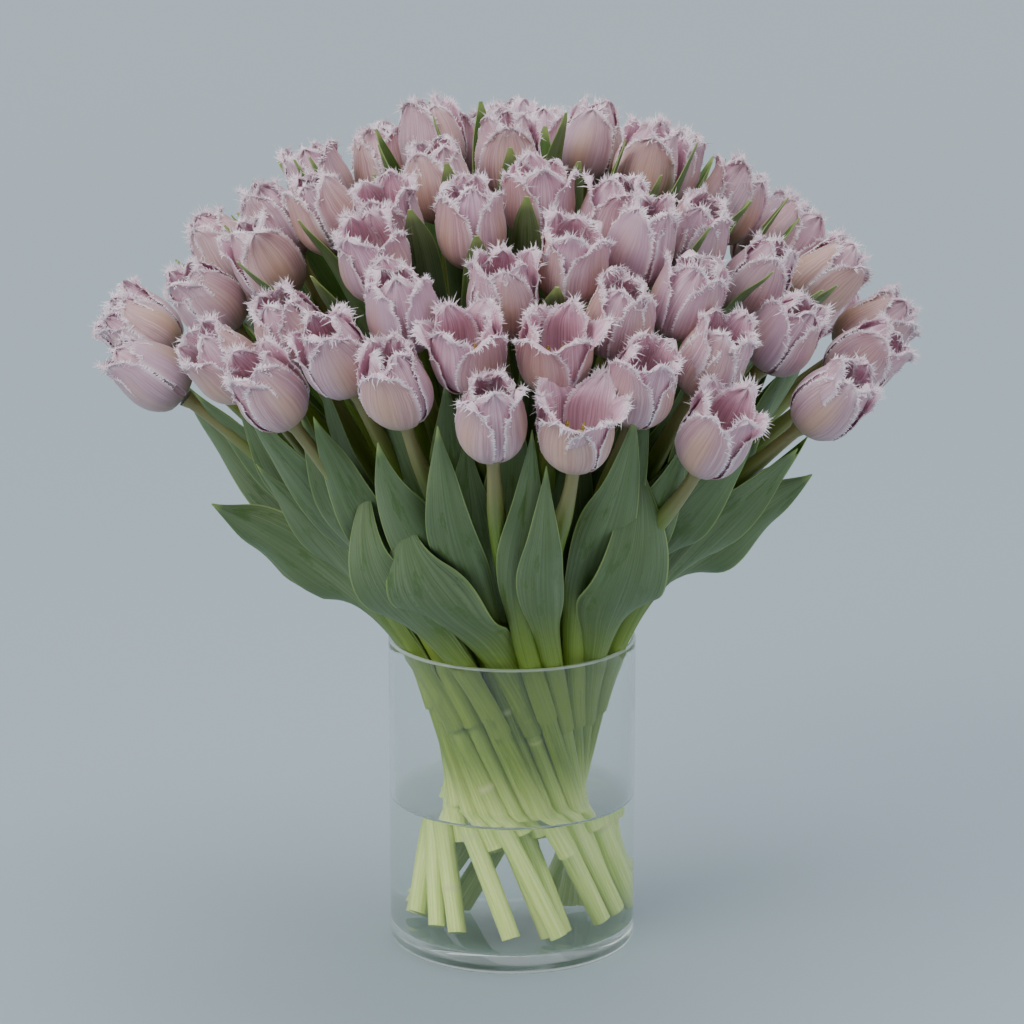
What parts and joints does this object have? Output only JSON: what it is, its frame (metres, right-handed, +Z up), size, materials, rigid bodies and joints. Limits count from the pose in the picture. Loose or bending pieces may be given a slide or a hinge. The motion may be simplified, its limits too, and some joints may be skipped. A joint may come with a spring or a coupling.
{
  "type": "vase of tulips",
  "caption": "Domed bunch of fringed tulips with their leaves, standing in a straight clear glass vase with water in it",
  "frame": {"origin": "on the vase's axis, at the flat surface that its foot stands on", "axes": "+Z up, -Y towards the front of the picture, +X to the right as seen from the front"},
  "size_m": [0.5113, 0.5083, 0.5249],
  "materials": {
    "glass": "clear smooth glass, slightly grey-green in its thick floor",
    "water": "still clear water, drawn as glass",
    "green": "waxy grey-green leaves with fine parallel veins, fresh green stems paler under water",
    "petals": "soft dusty mauve petals with a pale crystal fringe"
  },
  "bodies": {
    "root": {"vase": "glass", "water": "water", "stems_and_leaves": "green", "bloom_1": "petals", "bloom_2": "petals", "bloom_3": "petals", "bloom_4": "petals", "bloom_5": "petals", "bloom_6": "petals", "bloom_7": "petals", "bloom_8": "petals", "bloom_9": "petals", "bloom_10": "petals", "bloom_11": "petals", "bloom_12": "petals", "bloom_13": "petals", "bloom_14": "petals", "bloom_15": "petals", "bloom_16": "petals", "bloom_17": "petals", "bloom_18": "petals", "bloom_19": "petals", "bloom_20": "petals", "bloom_21": "petals", "bloom_22": "petals", "bloom_23": "petals", "bloom_24": "petals", "bloom_25": "petals", "bloom_26": "petals", "bloom_27": "petals", "bloom_28": "petals", "bloom_29": "petals", "bloom_30": "petals", "bloom_31": "petals", "bloom_32": "petals", "bloom_33": "petals", "bloom_34": "petals", "bloom_35": "petals", "bloom_36": "petals", "bloom_37": "petals", "bloom_38": "petals", "bloom_39": "petals", "bloom_40": "petals", "bloom_41": "petals", "bloom_42": "petals", "bloom_43": "petals", "bloom_44": "petals", "twin_blooms_1": "petals", "twin_blooms_2": "petals", "twin_blooms_3": "petals", "twin_blooms_4": "petals", "twin_blooms_5": "petals", "twin_blooms_6": "petals", "twin_blooms_7": "petals", "twin_blooms_8": "petals", "twin_blooms_9": "petals", "twin_blooms_10": "petals", "twin_blooms_11": "petals", "twin_blooms_12": "petals"}
  },
  "joints": []
}
